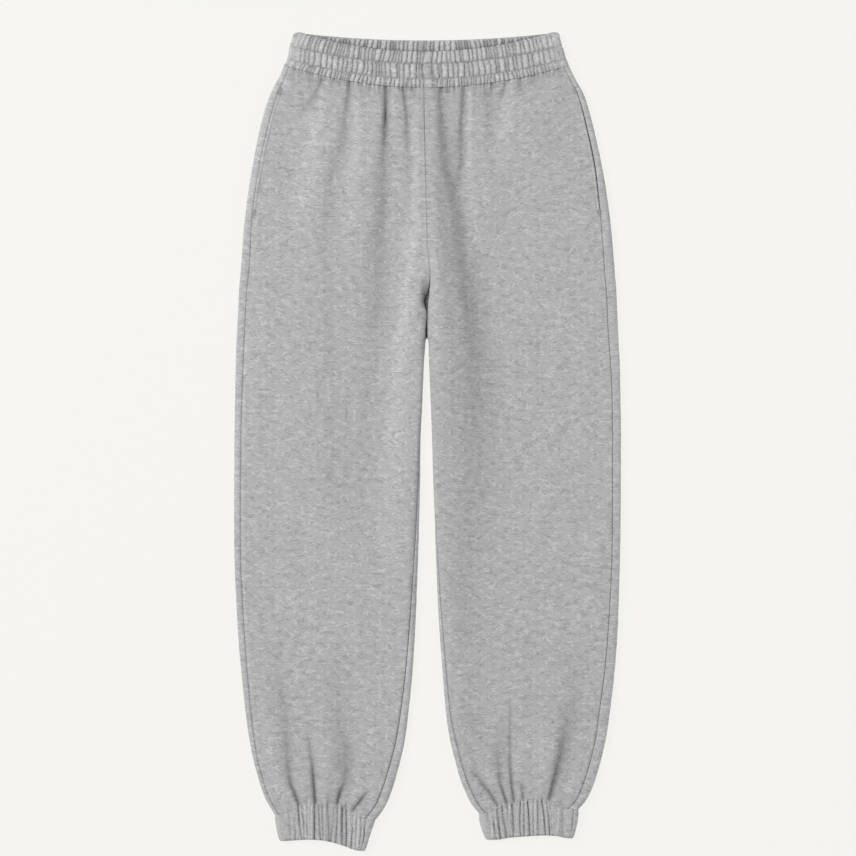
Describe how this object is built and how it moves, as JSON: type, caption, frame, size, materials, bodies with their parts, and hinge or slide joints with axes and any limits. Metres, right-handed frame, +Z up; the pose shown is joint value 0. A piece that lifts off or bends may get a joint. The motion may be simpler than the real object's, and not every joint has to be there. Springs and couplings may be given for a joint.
{
  "type": "jogger sweatpants",
  "caption": "Loose fleece trousers laid flat, front up, with a gathered elastic waistband, side-seam pockets and gathered cuffs.",
  "frame": {"origin": "middle of the garment's bounding box, on the surface that it lies on", "axes": "+Y along the garment from the ankles up to the waist, +X to the wearer's left leg, +Z up off the surface, out of the garment's front"},
  "size_m": [0.4733, 1, 0.0149],
  "materials": {
    "fleece": "grey marl sweatshirt fleece, matt and slightly fuzzy",
    "pocketing": "thin plain cotton knit in a like grey"
  },
  "bodies": {
    "root": {"front_right": "fleece", "front_left": "fleece", "back_right": "fleece", "back_left": "fleece", "waistband": "fleece", "cuff_right": "fleece", "cuff_left": "fleece", "pocket_bag_right": "pocketing", "pocket_bag_left": "pocketing"}
  },
  "joints": []
}
